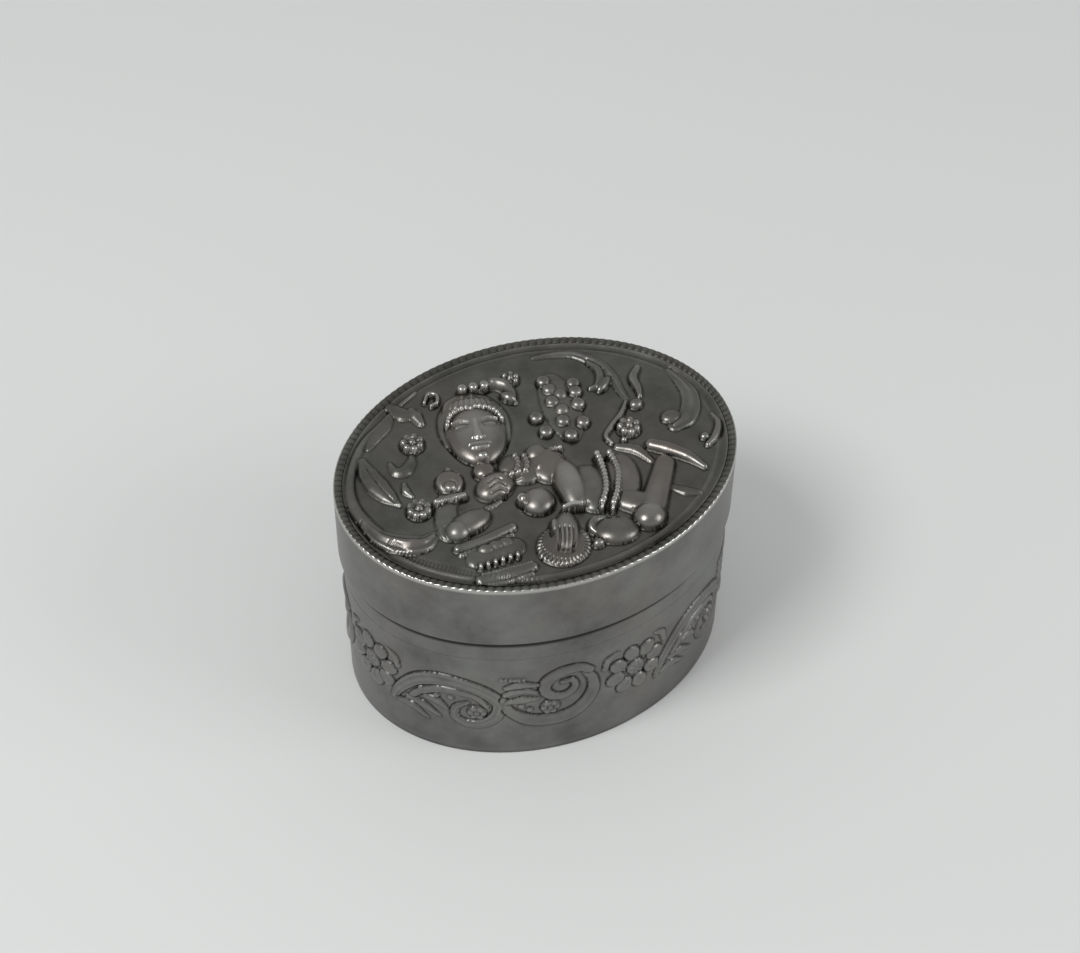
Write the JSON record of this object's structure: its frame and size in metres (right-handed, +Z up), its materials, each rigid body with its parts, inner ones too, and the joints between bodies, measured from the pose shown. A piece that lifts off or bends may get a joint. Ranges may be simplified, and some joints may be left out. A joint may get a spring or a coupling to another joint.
{
  "type": "oval box with lift-off lid",
  "caption": "Small oval silver box with a lift-off lid that slips over a collar, a relief figure on the top and a chased flower band round the body.",
  "frame": {"origin": "centre of the flat base, on the surface that the box stands on", "axes": "+X along the length of the oval, +Y across it, +Z up towards the lid"},
  "size_m": [0.06, 0.048, 0.0386],
  "materials": {
    "aged_silver": "satin, aged silver with cloudy tarnish",
    "dark_silver": "dark patina, worn bright on the high points",
    "inner_silver": "dull silver inside"
  },
  "bodies": {
    "body": {"base_plate": "inner_silver", "body_wall": "aged_silver", "body_collar": "inner_silver"},
    "lid": {"lid_wall": "aged_silver", "lid_rim_wire": "dark_silver", "lid_top_plate": "dark_silver"}
  },
  "joints": [
    {"name": "lid_lift", "type": "slide", "parent": "body", "child": "lid", "axis": [0, 0, 1], "range_m": [0, 0.04]}
  ]
}
